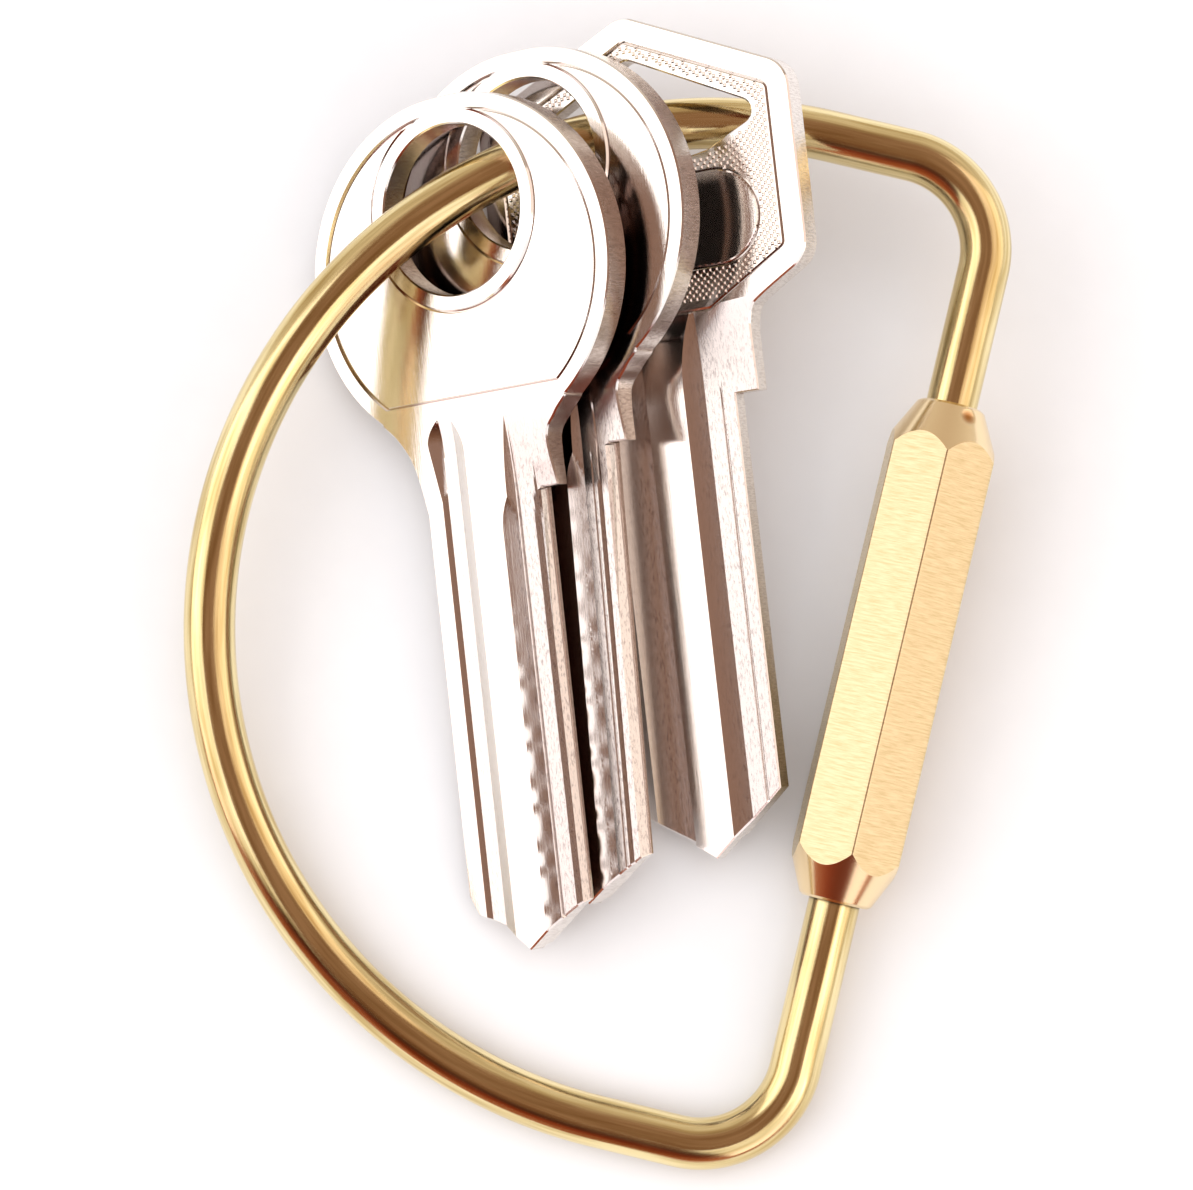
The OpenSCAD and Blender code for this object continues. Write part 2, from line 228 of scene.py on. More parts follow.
# %% [markdown]
# ## Metals
# The rod is drawn brass: pulled through a die, it carries faint lines along its length, then it is
# polished and slowly tarnishes, so its gold is smoky in places. The sleeve is hexagon bar: its flats
# were ground across, which gives short bright lines round the bar, and its cones were turned on a lathe.
# The keys are brass blanks with bright nickel plate. Metal shows what it reflects, so each colour stays
# pale, and the dark bands come from the brown ceiling. A painted shadow darkens the rod in a thin line at
# the seam below the sleeve, painted shade darkens the keys where they lie close together, and tarnish
# sits in the sleeve's punch mark.

# %% What the metals share
on_surface = ("UVMap", {"uv_map": "surface"}, "UV")
on_key = ("Attribute", {"attribute_name": "key_place"}, "Vector")


def patterned(name, place, patterns):
    """An empty material with a noise for each pattern: grains a mm along each axis, detail, roughness."""
    material, tree = new_material(name)
    kind, settings, socket = place
    at = add_node(tree, kind, settings).outputs[socket]
    noises = []
    for per_mm, detail, roughness in patterns:
        scaled = add_node(tree, "Mapping", None, {"Scale": per_mm}, {"Vector": at})
        noise = add_node(tree, "TexNoise", None, {"Scale": 1.0, "Detail": detail, "Roughness": roughness},
                         {"Vector": scaled.outputs[0]})
        noises.append(noise.outputs[0])
    return material, tree, noises


def bare_metal(tree, color, roughness, height, strength, depth):
    """Ends a material as metal with a relief of a depth in mm. Its roughness is a number or a socket."""
    bump = add_node(tree, "Bump", None, {"Strength": strength, "Distance": depth * MM}, {"Height": height})
    values, links = {"Metallic": 1.0}, {"Base Color": color, "Normal": bump.outputs[0]}
    (values if isinstance(roughness, float) else links)["Roughness"] = roughness
    shader = add_node(tree, "BsdfPrincipled", None, values, links)
    add_node(tree, "OutputMaterial", None, None, {0: shader.outputs[0]})


# %% Brass materials


def brass_rod():
    """Drawn and polished brass rod: faint lines along it, smoky streaks of tarnish, a painted shadow at the
    seam.
    """
    material, tree, (lines, smoke) = patterned("brass_drawn_polished", on_surface, [
        ((0.12, 7.0, 1.0), 4.0, 0.6),  # the die's lines: 8 mm by 0.14 mm, drawn coarser to show
        ((0.12, 2.2, 1.0), 3.0, 0.5)])  # streaks of tarnish: 8 mm by 0.45 mm
    tarnish = add_node(tree, "MapRange", None, {"From Min": 0.38, "From Max": 0.7}, {"Value": smoke})
    color = add_node(tree, *color_mix, {"A": "#f4e3ae", "B": "#c4aa6e"}, {"Factor": tarnish.outputs[0]})
    # painted shadow: the rod turns near black in a thin line just below the sleeve's lower rim
    seam_shadow = add_node(tree, "Attribute", {"attribute_name": "seam_shadow_and_mark_tarnish"})
    color = add_node(tree, *color_mix, {"B": "#2a1a10"},
                     {"Factor": seam_shadow.outputs["Fac"], "A": color.outputs[2]})
    rough = add_node(tree, "MapRange", None,
                     {"From Min": 0.3, "From Max": 0.8, "To Min": 0.1, "To Max": 0.26}, {"Value": lines})
    bare_metal(tree, color.outputs[2], rough.outputs[0], lines, strength=0.5, depth=0.01)
    return material


def brass_flat():
    """Ground flats of the hexagon bar: fine bright lines across the bar and short darker dashes."""
    material, tree, (lines,) = patterned("brass_hexagon_brushed", on_surface, [
        ((9.0, 0.7, 1.0), 5.0, 0.65)])  # the grit's lines: 0.11 mm by 1.4 mm
    contrast = add_node(tree, "MapRange", None, {"From Min": 0.32, "From Max": 0.62}, {"Value": lines})
    color = add_node(tree, *color_mix, {"A": "#d2be90", "B": "#ecdab3"}, {"Factor": contrast.outputs[0]})
    bare_metal(tree, color.outputs[2], 0.3, lines, strength=0.5, depth=0.02)
    return material


def brass_turned():
    """Turned brass: fine rings left by the lathe tool, and tarnish in the punch mark."""
    material, tree, (rings,) = patterned("brass_turned", on_surface, [
        ((6.0, 0.1, 1.0), 3.0, 0.5)])  # the tool's feed: 0.17 mm a turn, drawn coarser to show
    mark = add_node(tree, "Attribute", {"attribute_name": "seam_shadow_and_mark_tarnish"})
    color = add_node(tree, *color_mix, {"A": "#f6dfb4", "B": "#b5793f"}, {"Factor": mark.outputs["Fac"]})
    bare_metal(tree, color.outputs[2], 0.18, rings, strength=0.3, depth=0.01)
    return material


# %% Nickel materials


def painted_gap_shade(tree, color):
    """Painted shade: darkens a colour by ambient occlusion in gaps of 2.5 mm and less, where the keys lie
    close together.
    """
    open_to = add_node(tree, "AmbientOcclusion", {"samples": 8}, {"Distance": 2.5 * MM})
    share = add_node(tree, "MapRange", None, {"From Min": 0.15, "From Max": 0.75},
                     {"Value": open_to.outputs["AO"]})
    # painted shade: the colour goes to dark brown where little is open round it
    mixed = add_node(tree, *color_mix, {"A": "#7d5c4e"}, {"Factor": share.outputs[0], "B": color})
    return mixed.outputs[2]


def key_nickel():
    """Nickel plate on a key's faces: bright, with faint lines down the blade and duller, specked grooves."""
    material, tree, (lines, specks) = patterned("nickel_plate_bright", on_key, [
        ((9.0, 0.35, 9.0), 5.0, 0.7),  # buffing lines: 0.11 mm by 3 mm, drawn coarser to show
        ((8.0, 2.2, 8.0), 4.0, 0.65)])  # tears left by the cutter: 0.13 mm by 0.45 mm
    milled = add_node(tree, "Attribute", {"attribute_name": "milled"}).outputs["Fac"]
    torn = add_node(tree, "MapRange", None, {"From Min": 0.5, "From Max": 0.8, "To Min": 0.25},
                    {"Value": specks})
    wear = add_node(tree, "Math", {"operation": "MULTIPLY"}, None, {0: torn.outputs[0], 1: milled})
    color = add_node(tree, *color_mix, {"A": "#f3efec", "B": "#94898a"}, {"Factor": wear.outputs[0]})
    rough = add_node(tree, "MapRange", None, {"To Min": 0.1, "To Max": 0.24}, {"Value": milled})
    rise = add_node(tree, "Math", {"operation": "ADD"}, None, {0: lines, 1: wear.outputs[0]})
    # with painted shade in the gaps between the keys
    bare_metal(tree, painted_gap_shade(tree, color.outputs[2]), rough.outputs[0], rise.outputs[0],
               strength=0.35, depth=0.01)
    return material


def sheared_nickel():
    """Plate on the sheared edge of a blank: fine lines through the thickness, where the die tore it."""
    material, tree, (lines,) = patterned("nickel_plate_sheared_edge", on_key, [
        ((9.0, 9.0, 2.0), 4.0, 0.7)])  # the die's tears: 0.11 mm apart and 0.5 mm long
    color = add_node(tree, "ValToRGB", None, None, {0: lines})
    for element, position, text in zip(color.color_ramp.elements, (0.38, 0.56), ("#d6cdc6", "#f1ebe5")):
        element.position = position
        element.color = hex_color(text)
    # with painted shade in the gaps between the keys
    bare_metal(tree, painted_gap_shade(tree, color.outputs[0]), 0.26, lines, strength=0.4, depth=0.02)
    return material


rod_brass = brass_rod()
flat_brass = brass_flat()
turned_brass = brass_turned()
nickel = key_nickel()
edge_nickel = sheared_nickel()
print("materials", [m.name for m in bpy.data.materials])

# %% [markdown]
# ## The bent rod
# One brass rod makes the whole D: a long half circle, two tight corner bends and two straight ends.
# The lower end is threaded for the sleeve, the upper end is turned down to a journal with a riveted
# head. A circle carried along the path gives all of it, with the radius changed along the way.

# %% Rod
rod_columns = 96
rod_turns = np.arange(rod_columns) / rod_columns
rod_chamfer = 0.3
thread_rows = 260
thread_low = sleeve_low + mouth_len
thread_top = thread_low + thread_len
head_low = head_top - head_len
flank_slope = 2.6  # steepness of the ridge's sides, in ridge heights a turn
fade_top, fade_low = 0.5, 0.3  # the ridge fades out over these lengths
seam_shadow_w = 0.2  # width of the painted shadow line below the sleeve


def straight_rows(start, end, count, radius):
    """Rows of points from start to end in the ring's plane: middle, direction, radius of every column."""
    t = np.linspace(0, 1, count)[:, None]
    middle = np.array(start) * (1 - t) + np.array(end) * t
    direction = (np.array(end) - start) / np.linalg.norm(np.array(end) - start)
    return middle, np.tile(direction, (count, 1)), np.broadcast_to(radius, (count, rod_columns))


def bend_rows(centre, radius, start, end, count):
    """Rows along an arc that runs clockwise from the angle start to the angle end."""
    a = np.radians(np.linspace(start, end, count))
    middle = np.array(centre) + radius * np.stack([np.cos(a), np.sin(a)], 1)
    return middle, np.stack([np.sin(a), -np.cos(a)], 1), np.full((count, rod_columns), wire_r)


def thread_radius(y):
    """Root radius plus a rounded ridge wherever y / pitch minus the turn is near a whole number."""
    phase = (y[:, None] / thread_pitch - rod_turns) % 1 - 0.5
    ridge = np.clip(0.5 + (0.25 - np.abs(phase)) * flank_slope, 0, 1)
    fade = np.clip((thread_top - y) / fade_top, 0, 1) * np.clip((y - thread_low) / fade_low, 0, 1)
    end = rod_chamfer * (1 - np.clip((thread_top - y) / rod_chamfer, 0, 1))
    return thread_core_r - end[:, None] + (thread_r - thread_core_r) * ridge * fade[:, None]


# each stretch: where it starts and ends, how many rows it has, and its radius
thread_y = np.linspace(thread_top, thread_low, thread_rows)
stretches = [
    straight_rows([0, thread_top], [0, thread_low], thread_rows, thread_radius(thread_y)),
    straight_rows([0, thread_low], [0, sleeve_low], 5, thread_core_r),
    straight_rows([0, sleeve_low], [0, -side_half], 60, wire_r),
    bend_rows([-bend_r, -side_half], bend_r, 0, -90, 70),
    straight_rows([-bend_r, -arc_r], [-arc_offset, -arc_r], 20, wire_r),
    bend_rows([-arc_offset, 0], arc_r, 270, 90, 420),
    straight_rows([-arc_offset, arc_r], [-bend_r, arc_r], 20, wire_r),
    bend_rows([-bend_r, side_half], bend_r, 90, 0, 70),
    straight_rows([0, side_half], [0, journal_top], 60, wire_r),
    straight_rows([0, journal_top], [0, head_top], 6, journal_r),
    straight_rows([0, head_top], [0, head_low + rod_chamfer], 3, wire_r),
    straight_rows([0, head_low + rod_chamfer], [0, head_low], 2,
                  np.array([[wire_r], [wire_r - rod_chamfer]])),
]
middle, direction, radius = [np.concatenate([s[k] for s in stretches]) for k in range(3)]
gap = np.linalg.norm(np.diff(middle, axis=0), axis=1) + np.abs(np.diff(radius[:, 0]))
keep = np.concatenate([[True], gap > 1e-6])
middle, direction, radius = middle[keep], direction[keep], radius[keep]
side = np.stack([direction[:, 1], -direction[:, 0], np.zeros(len(direction))], 1)
angle = 2 * np.pi * rod_turns - np.pi / 2
spoke = np.cos(angle)[None, :, None] * side[:, None] + np.sin(angle)[None, :, None] * np.array([0, 0, 1])
rod_points = np.column_stack([middle, np.zeros(len(middle))])[:, None] + radius[..., None] * spoke
along = way_along(middle)
around = np.linspace(0, 2 * np.pi * wire_r, rod_columns + 1)
rod_mesh = grid_mesh("ring_rod", in_ring(rod_points), along, around)
# painted shadow on the rod, fading out over a short way below the sleeve's lower rim
below = sleeve_low - middle[:, 1]
seam_shadow = np.where((middle[:, 0] > -0.01) & (below > -1e-6), np.clip(1 - below / seam_shadow_w, 0, 1), 0)
rod_mesh.attributes.new("seam_shadow_and_mark_tarnish", "FLOAT", "POINT").data.foreach_set("value", np.repeat(seam_shadow, rod_columns))
add_piece("ring_rod", rod_mesh, "ring", "ring_wire", [rod_brass], sharp_degrees=24)
print("rod length", round(along[-1], 1), "mm")

# %% [markdown]
# ## The screw sleeve
# The sleeve is a length of hexagon bar with a cone turned on each end, so every flat ends in a curved
# edge where the cone cuts it. On each column of the grid the cone runs until its radius reaches that of
# the hexagon, which puts a row of points exactly on that curved edge. The bore runs back through it.

# %% Outside of the sleeve
edge = 0.15  # width of the ring at each rim, and of the collar's bevels
corner_round = 0.18  # radius left on the bar's corners
flat_columns = 22
arc_columns = 5
cone_rows = 30
flat_rows = 40


def hexagon_columns():
    """Angle about the sleeve's axis and distance from it, round a hexagon with rounded corners."""
    corner = radians(30)
    flat_half = (corner_r - corner_round / cos(corner)) / 2
    across = np.linspace(-flat_half, flat_half, flat_columns)
    round_it = np.linspace(-corner, corner, arc_columns + 2)[1:-1]
    centre = (flats / 2 - corner_round) / cos(corner)
    x = np.concatenate([across, centre * sin(corner) + corner_round * np.sin(round_it + corner)])
    z = np.concatenate([np.full(flat_columns, flats / 2),
                        centre * cos(corner) + corner_round * np.cos(round_it + corner)])
    one = np.arctan2(x, z)
    angles = np.concatenate([one + radians(sleeve_turn + 30 + 60 * k) for k in range(6)])
    return angles, np.tile(np.hypot(x, z), 6)


hex_angle, hex_radius = hexagon_columns()
columns = len(hex_angle)


def cone_stretch(rim_r, rim_y, inwards):
    """Rows from a rim up its cone to the hexagon: radius and place along the axis of every column."""
    slope = (corner_r - rim_r) / cone_len
    start = rim_r + edge * slope
    t = np.linspace(0, 1, cone_rows)[:, None]
    r = start + (hex_radius - start) * t
    return r, rim_y + inwards * (r - rim_r) / slope


low_r, low_y = cone_stretch(low_rim_r, sleeve_low, 1)
top_r, top_y = cone_stretch(top_rim_r, sleeve_top, -1)
t = np.linspace(0, 1, flat_rows)[1:-1, None]
flat_y = low_y[-1] * (1 - t) + top_y[-1] * t
flat_r = np.tile(hex_radius, (flat_rows - 2, 1))
print("sleeve's flats", round(float(np.ptp(flat_y[:, flat_columns // 2])), 1), "mm long")

# %% Bore of the sleeve
collar_r = 1.95
collar_len = 2.0
end_gap = 0.1  # between the collar and the end of its room
travel = 8.4  # how far the sleeve slides up the rod
lip_r = wire_r + running_gap
cavity_r = collar_r + running_gap
thread_bore_r = thread_r + running_gap
mouth_r = thread_bore_r + running_gap
cavity_low = head_low - travel - end_gap
bore = [(top_rim_r - edge, sleeve_top), (lip_r, sleeve_top), (lip_r, journal_top), (cavity_r, journal_top),
        (cavity_r, cavity_low), (thread_bore_r, cavity_low), (thread_bore_r, thread_low),
        (mouth_r, thread_low), (mouth_r, sleeve_low), (low_rim_r - edge, sleeve_low)]
bore_r, bore_y = [np.tile(np.array(bore)[:, k:k + 1], (1, columns)) for k in range(2)]
sleeve_r = np.concatenate([low_r, flat_r, top_r[::-1], bore_r])
sleeve_y = np.concatenate([low_y, flat_y, top_y[::-1], bore_y])
sleeve_points = np.stack([sleeve_r * np.sin(hex_angle), sleeve_y, sleeve_r * np.cos(hex_angle)], -1)
print("room for the collar from", round(cavity_low, 2), "to", journal_top, "mm")

# %% Punch mark and mesh of the sleeve
mark_r = 0.55
mark_turn = radians(26)  # from straight up, about the sleeve
mark_down = 0.7  # below the top rim
mark_depth = 0.05
half_cone = atan((corner_r - top_rim_r) / cone_len)
mark_out = top_rim_r + mark_down * tan(half_cone)
mark_at = np.array([mark_out * sin(mark_turn), sleeve_top - mark_down, mark_out * cos(mark_turn)])
mark_axis = np.array([sin(mark_turn) * cos(half_cone), sin(half_cone), cos(mark_turn) * cos(half_cone)])
away = np.linalg.norm(sleeve_points - mark_at, axis=-1)
dent = mark_depth * np.clip(1 - (away / mark_r) ** 2, 0, 1)
dent[-len(bore):] = 0
sleeve_points = sleeve_points - dent[..., None] * mark_axis
row_way = np.concatenate([sleeve_y, sleeve_y[:1]])
across = way_along(sleeve_points[cone_rows][:, [0, 2]])
column_way = np.append(across, across[-1] + 0.1)  # and on to the first column
sleeve_mesh = grid_mesh("screw_sleeve", in_ring(sleeve_points), row_way, column_way, joined=True)
sleeve_mesh.attributes.new("seam_shadow_and_mark_tarnish", "FLOAT", "POINT").data.foreach_set("value", (dent / mark_depth).ravel())
face_row = np.repeat(np.arange(len(sleeve_r)), columns)
on_flat = (face_row >= cone_rows - 1) & (face_row < cone_rows + flat_rows - 2)
sleeve_mesh.polygons.foreach_set("material_index", np.where(on_flat, 1, 0))
add_piece("screw_sleeve", sleeve_mesh, "sleeve", "hex_sleeve", [turned_brass, flat_brass])

# %% Stop collar
collar_top = journal_top - end_gap
collar_low = collar_top - collar_len
collar_profile = np.array([(journal_r + running_gap, collar_low), (collar_r - edge, collar_low),
                           (collar_r, collar_low + edge), (collar_r, collar_top - edge),
                           (collar_r - edge, collar_top), (journal_r + running_gap, collar_top)])
collar_columns = 96
collar_turn = np.linspace(0, 2 * np.pi, collar_columns + 1)
r, y = collar_profile[:, :1], collar_profile[:, 1:]
collar_points = np.stack([r * np.sin(collar_turn[:-1]), np.repeat(y, collar_columns, 1),
                          r * np.cos(collar_turn[:-1])], -1)
collar_way = np.append(way_along(collar_profile), 0)
collar_mesh = grid_mesh("collar", in_ring(collar_points), collar_way, collar_turn * collar_r, joined=True)
add_piece("collar", collar_mesh, "collar", "stop_collar", [turned_brass])

# %% [markdown]
# ## The keys
# Each key is stamped from sheet, so it is one flat outline with a hole, and everything on its faces is
# shallow: a sunk field with raised rims and a fine furrow along them, and long grooves milled down the
# blade by a disc that leaves a pointed run-out at the top, and soft humps where it chattered. One
# triangulation of the outline serves both faces. Its lines follow every edge of a groove or rim, and a
# height function then says how deep each point lies.

# %% Where the keys lie


def on_wire(angle, out, lift):
    """Place over the table of a point of the half circle: out along the radius and lift upwards."""
    x = -arc_offset + (arc_r + out) * cos(radians(angle))
    y = (arc_r + out) * sin(radians(angle))
    up = y * sin(radians(ring_pitch)) - x * sin(radians(ring_roll))
    return np.array([x, y, ring_z + up + lift])


def lying_key(place, yaw, roll, down, half_w, half_t):
    """Turn and place of a key that rests on the lower corner of its tip, down below its hole."""
    under = half_w * sin(radians(roll)) + half_t * cos(radians(roll))
    pitch = asin((place[2] - rest_gap) / hypot(down, under)) - atan2(under, down)
    return turn(2, yaw) @ turn(0, degrees(pitch)) @ turn(1, -roll), place - origin


# %% Outlines


def offset_loop(loop, distance):
    """A closed loop moved outwards by a distance, along the mean of its edges' normals at each point."""
    before = loop - np.roll(loop, 1, 0)
    after = np.roll(loop, -1, 0) - loop
    n1, n2 = [np.stack([e[:, 1], -e[:, 0]], 1) / np.linalg.norm(e, axis=1)[:, None] for e in (before, after)]
    mean = n1 + n2
    return loop + distance * mean / np.maximum((mean * n1).sum(1), 0.5)[:, None]


def arc_points(centre, radius, start, end, count):
    """Points along an arc from the angle start to the angle end."""
    a = np.radians(np.linspace(start, end, count))
    return np.array(centre) + radius * np.stack([np.cos(a), np.sin(a)], 1)


def rounded_corner(a, p, b, radius, count=9):
    """Points of the arc that touches both sides of the corner p between the points a and b."""
    u, v = [(np.array(q, float) - p) / np.linalg.norm(np.array(q, float) - p) for q in (a, b)]
    half = acos(u @ v) / 2
    centre = p + (u + v) / np.linalg.norm(u + v) * radius / sin(half)
    start, end = p + u * radius / tan(half) - centre, p + v * radius / tan(half) - centre
    arc = acos(np.clip(start @ end / radius ** 2, -1, 1))
    t = np.linspace(0, 1, count)[:, None]
    return centre + (np.sin(arc * (1 - t)) * start + np.sin(arc * t) * end) / sin(arc)


def rounded_loop(points, radius):
    """A closed loop with every corner rounded."""
    n = len(points)
    return np.concatenate([rounded_corner(points[i - 1], points[i], points[(i + 1) % n], radius)
                           for i in range(n)])


def stadium(half_w, y, radius, count):
    """A closed loop of two half circles, set half_w to the right and to the left of the middle."""
    return np.concatenate([arc_points([half_w, y], radius, -90, 90, count),
                           arc_points([-half_w, y], radius, 90, 270, count)])


def smooth_path(points, steps=8):
    """A smooth curve through the points, with each tangent along the line between its neighbours."""
    p = np.concatenate([[2 * points[0] - points[1]], points, [2 * points[-1] - points[-2]]])[:, None]
    t = (np.arange(steps) / steps)[None, :, None]
    a, b, c, d = p[:-3], p[1:-2], p[2:-1], p[3:]
    curve = (b + (c - a) * t / 2 + (a - 2.5 * b + 2 * c - d / 2) * t ** 2
             + (1.5 * (b - c) + (d - a) / 2) * t ** 3)
    return np.concatenate([curve.reshape(-1, 2), points[-1:]])


def inside(points, loop):
    """True for each point inside a closed loop, by counting the edges to its right."""
    x, y = points[:, :1], points[:, 1:]
    ax, ay = loop[:, 0], loop[:, 1]
    bx, by = np.roll(ax, -1), np.roll(ay, -1)
    cross = (ay > y) != (by > y)
    at = ax + (y - ay) * (bx - ax) / np.where(by == ay, 1, by - ay)
    return (cross & (x < at)).sum(1) % 2 == 1


def distance_to(points, loop):
    """Distance of each point from a closed loop of straight edges."""
    a, b = loop, np.roll(loop, -1, 0)
    d = b - a
    t = np.clip(((points[:, None] - a) * d).sum(2) / (d ** 2).sum(1), 0, 1)
    return np.linalg.norm(points[:, None] - a - t[..., None] * d, axis=2).min(1)


# %% Depths on a key's faces
# a groove: four places x across it, its depth, the y of its top and the radius of its cutter
relief = 0.12  # depth of a sunk field
step_w = 0.12  # width of the small slope at its edge
furrow = 0.45  # depth of the furrow that the die leaves there, as a share of the relief
full_wear = 0.4  # depth from which a groove looks fully worn
hump = 0.1  # height of the chatter, as a share of the groove's depth
hump_growth = 12  # mm over which it grows
hump_drift, hump_drift_rate = 0.8, 1.7  # radians by which its wave drifts, and radians a mm


def cutter_lift(y, groove):
    """How far the rim of the milling cutter has left the groove's bottom at y: a circle, from its top."""
    depth, top, cutter_r = groove[4:]
    over = np.clip(y - top + sqrt(2 * cutter_r * depth - depth ** 2), 0, cutter_r * 0.99)
    return cutter_r - np.sqrt(cutter_r ** 2 - over ** 2)


def groove_depth_at(x, y, groove):
    """Depth of a groove: sloping sides between its four places x, less the lift of the cutter."""
    x0, x1, x2, x3, depth = groove[:5]
    profile = depth * np.clip(np.minimum((x - x0) / (x1 - x0), (x3 - x) / (x3 - x2)), 0, 1)
    return np.where(y < groove[5], np.maximum(profile - cutter_lift(y, groove), 0), 0)


def run_out_lines(groove):
    """The two curved edges of a groove's pointed top, where the cutter leaves the surface."""
    x0, x1, x2, x3, depth, top, cutter_r = groove
    y = np.linspace(top - sqrt(2 * cutter_r * depth - depth ** 2), top - 0.01, 26)
    share = cutter_lift(y, groove) / depth
    return [(np.stack([x, y], 1), False) for x in (x0 + (x1 - x0) * share, x3 - (x3 - x2) * share)]


def groove_lines(grooves, edge):
    """The run-out lines of grooves. One that goes over the edge of the blade has only the first."""
    return [line for groove in grooves for line in run_out_lines(groove)[:1 if groove[3] > edge else 2]]


def milled_depth(points, grooves):
    """Deepest of a list of grooves at each point."""
    return np.max([groove_depth_at(*points.T, groove) for groove in grooves], axis=0)


def chatter(points, x0, x1, depth, top, pitch):
    """How much a shaking cutter leaves standing on the slope x0 to x1: a soft hump every pitch, below top."""
    x, y = points.T
    p = np.clip((x - x0) / (x1 - x0), 0, 1)
    wave = 0.5 + 0.5 * np.sin(2 * np.pi * y / pitch + hump_drift * np.sin(hump_drift_rate * y))
    return hump * depth * np.sin(np.pi * p) * wave * np.clip((top - y) / hump_growth, 0, 1)


def step_down(way):
    """Depth of a sunk field at a way in from its edge, with the fine furrow that the die leaves there."""
    way = way / step_w
    return relief * (np.clip(way, 0, 1) + furrow * np.clip(1 - np.abs(way - 1), 0, 1))


# %% From an outline to a mesh
key_bevel = 0.1  # worn edge round every face


def grid_points(x0, x1, y0, y1, step):
    """A square grid of points, nudged off the lines so that no two points meet."""
    x, y = np.meshgrid(np.arange(x0, x1, step) + 0.011, np.arange(y0, y1, step) + 0.017)
    return np.stack([x.ravel(), y.ravel()], 1)


def triangulate(loops, lines, points):
    """Triangles of the area inside the first loop and outside the others, with the lines as edges."""
    corners, edges, start = [], [], 0
    for line, closed in [(l, True) for l in loops] + lines:
        n = len(line)
        i = np.arange(n if closed else n - 1)
        edges.append(np.stack([start + i, start + (i + 1) % n], 1))
        corners.append(line)
        start += n
    corners.append(points[inside(points, loops[0])])
    flat = np.concatenate(corners)
    places, _, triangles = geometry.delaunay_2d_cdt([Vector(p) for p in flat.tolist()],
                                                    np.concatenate(edges).tolist(), [], 0, 1e-5)[:3]
    places, triangles = np.array([tuple(v) for v in places]), np.array(triangles)
    middle = places[triangles].mean(1)
    kept = inside(middle, loops[0])
    for hole in loops[1:]:
        kept &= ~inside(middle, hole)
    triangles = triangles[kept]
    used, triangles = np.unique(triangles, return_inverse=True)
    return places[used], triangles.reshape(-1, 3)


def blade_lines(columns, top, bottom, step=0.3):
    """Straight lines down the blade at each x."""
    rows = np.arange(top, bottom, -step)
    return [(np.column_stack([np.full(len(rows), x), rows]), False) for x in columns]


def plate_mesh(name, places, triangles, front, rear, rotation, place, milled, extra=(np.zeros((0, 3)), ())):
    """A closed plate: both faces share the triangles, and a wall with small bevels joins their edges.

    Each point keeps its place on the flat key in mm and how far it is milled, for the materials.
    Extra points and faces are added as they are.
    """
    n = len(places)
    edges = np.concatenate([triangles[:, [0, 1]], triangles[:, [1, 2]], triangles[:, [2, 0]]])
    key = edges[:, 0] * n + edges[:, 1]
    edges = edges[~np.isin(key, edges[:, 1] * n + edges[:, 0])]
    way = places[edges[:, 1]] - places[edges[:, 0]]
    out = np.stack([way[:, 1], -way[:, 0]], 1) / np.linalg.norm(way, axis=1)[:, None]
    normal = np.zeros((n, 2))
    np.add.at(normal, edges[:, 0], out)
    np.add.at(normal, edges[:, 1], out)
    rim, at = np.unique(edges, return_inverse=True)
    a, b = at.reshape(-1, 2).T
    outward = normal[rim] / np.maximum(np.linalg.norm(normal[rim], axis=1), 0.6)[:, None]
    wide = places[rim] + key_bevel * outward
    m = len(rim)
    rails = [rim, 2 * n + np.arange(m), 2 * n + m + np.arange(m), n + rim]
    walls = [np.stack([p[a], q[a], q[b], p[b]], 1) for p, q in zip(rails, rails[1:])]
    faces = triangles.tolist() + (n + triangles[:, ::-1]).tolist() + np.concatenate(walls).tolist()
    points = np.concatenate([np.column_stack(row) for row in (
        (places, front), (places, rear), (wide, front[rim] - key_bevel), (wide, rear[rim] + key_bevel))])
    share = np.concatenate([milled, milled, np.zeros(2 * m + len(extra[0]))])
    kind = np.zeros(len(faces) + len(extra[1]), int)
    kind[2 * len(triangles) + len(a):2 * len(triangles) + 2 * len(a)] = 1
    faces += (np.array(extra[1], int) + len(points)).tolist()
    points = np.concatenate([points, extra[0]])
    mesh = bpy.data.meshes.new(name)
    mesh.from_pydata(((points @ rotation.T + place) * MM).tolist(), [], faces)
    mesh.attributes.new("key_place", "FLOAT_VECTOR", "POINT").data.foreach_set("vector", points.ravel())
    mesh.attributes.new("milled", "FLOAT", "POINT").data.foreach_set("value", share)
    mesh.polygons.foreach_set("material_index", kind)
    mesh.update()
    return mesh


# %% Outline of the round keys
key_t = 1.9
bow_r = 10.9
bow_stretch = 1.2  # how much wider than tall the bow is
hole_r = 5.3
hole_wall = 1.8  # metal above the hole
hole_up = bow_r - hole_r - hole_wall
bow_rim = 0.95
hole_rim = 0.9
line_y = -hole_up - 8.0  # lower edge of the sunk field
round_reach = 42.2  # from the middle of the bow to the tip
round_blade = 8.6
round_stop = 14.1  # from there to the right shoulder
round_roll = 36.5  # degrees about the key's own length
half = round_blade / 2
ledge = 1.25  # width of that shoulder
neck = np.array([[0.25, -0.82], [0.17, -0.9], [0.09, -1.02], [0.04, -1.17], [0, -1.36]]) * bow_r + [half, 0]
tip = np.array([[-0.5, 0.42], [-0.43, 0.28], [-0.22, 0.19], [0, 0], [0.28, 0.21], [0.5, 0.33]]) * round_blade
tip[:, 1] -= round_reach
arc_end = degrees(atan2(neck[0, 1], neck[0, 0] - bow_stretch / 2))
right_arc = arc_points([bow_stretch / 2, 0], bow_r, arc_end, 90, 110)
left_arc = right_arc[::-1] * [-1, 1]
left_neck = smooth_path(np.concatenate([left_arc[-2:-1], neck * [-1, 1]]))[1:]
